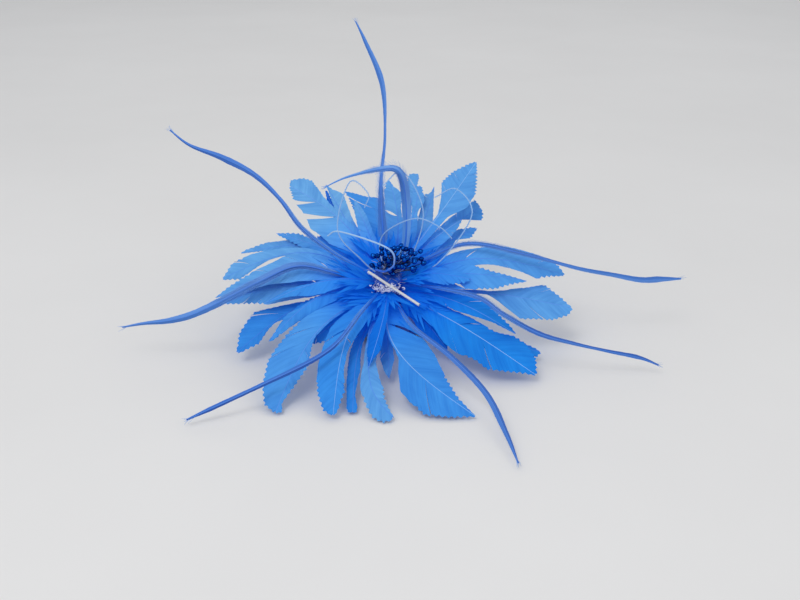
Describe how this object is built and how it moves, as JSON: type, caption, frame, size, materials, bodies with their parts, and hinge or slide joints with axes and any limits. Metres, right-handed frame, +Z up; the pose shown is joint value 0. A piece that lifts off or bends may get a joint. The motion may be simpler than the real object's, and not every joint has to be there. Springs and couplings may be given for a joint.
{
  "type": "feather fascinator",
  "caption": "Feather fascinator: a bloom of toothed trimmed feathers with long slim feathers, curled quills and pearl stamens on a bound core, a felt disc and a hair clip.",
  "frame": {"origin": "middle of the clip's flat underside, on the table that the fascinator rests on", "axes": "+Z up, -Y the front that the bloom leans towards, +X to the right seen from the front"},
  "size_m": [0.3384, 0.2523, 0.1759],
  "materials": {
    "feather": "trimmed goose feather, dyed mid blue, satin",
    "slim_feather": "slim stripped feather, dyed violet blue, satin",
    "quill": "bare curled quill, pale lavender, satin",
    "pearl": "pearl stamen head, near black navy, lustrous",
    "binding": "wound thread, deep blue, matte",
    "glue": "set clear glue with fluff in it",
    "felt": "pressed felt, deep blue, matte",
    "clip_metal": "bright steel strip"
  },
  "bodies": {
    "root": {"trimmed_feather_01": "feather", "trimmed_feather_02": "feather", "trimmed_feather_03": "feather", "trimmed_feather_04": "feather", "trimmed_feather_05": "feather", "trimmed_feather_06": "feather", "trimmed_feather_07": "feather", "trimmed_feather_08": "feather", "trimmed_feather_09": "feather", "trimmed_feather_10": "feather", "trimmed_feather_11": "feather", "trimmed_feather_12": "feather", "trimmed_feather_13": "feather", "trimmed_feather_14": "feather", "trimmed_feather_15": "feather", "trimmed_feather_16": "feather", "trimmed_feather_17": "feather", "trimmed_feather_18": "feather", "trimmed_feather_19": "feather", "trimmed_feather_20": "feather", "trimmed_feather_21": "feather", "trimmed_feather_22": "feather", "trimmed_feather_23": "feather", "trimmed_feather_24": "feather", "trimmed_feather_25": "feather", "trimmed_feather_26": "feather", "trimmed_feather_27": "feather", "trimmed_feather_28": "feather", "trimmed_feather_29": "feather", "trimmed_feather_30": "feather", "trimmed_feather_31": "feather", "trimmed_feather_32": "feather", "trimmed_feather_33": "feather", "trimmed_feather_34": "feather", "trimmed_feather_35": "feather", "trimmed_feather_36": "feather", "trimmed_feather_37": "feather", "trimmed_feather_38": "feather", "trimmed_feather_39": "feather", "trimmed_feather_40": "feather", "slim_feather_1": "slim_feather", "slim_feather_2": "slim_feather", "slim_feather_3": "slim_feather", "slim_feather_4": "slim_feather", "slim_feather_5": "slim_feather", "slim_feather_6": "slim_feather", "slim_feather_7": "slim_feather", "slim_feather_8": "slim_feather", "curled_quill_1": "quill", "curled_quill_2": "quill", "curled_quill_3": "quill", "curled_quill_4": "quill", "curled_quill_5": "quill", "stamens": "pearl", "bound_core": "binding", "glue_pad": "glue", "felt_disc": "felt", "hair_clip": "clip_metal"}
  },
  "joints": []
}
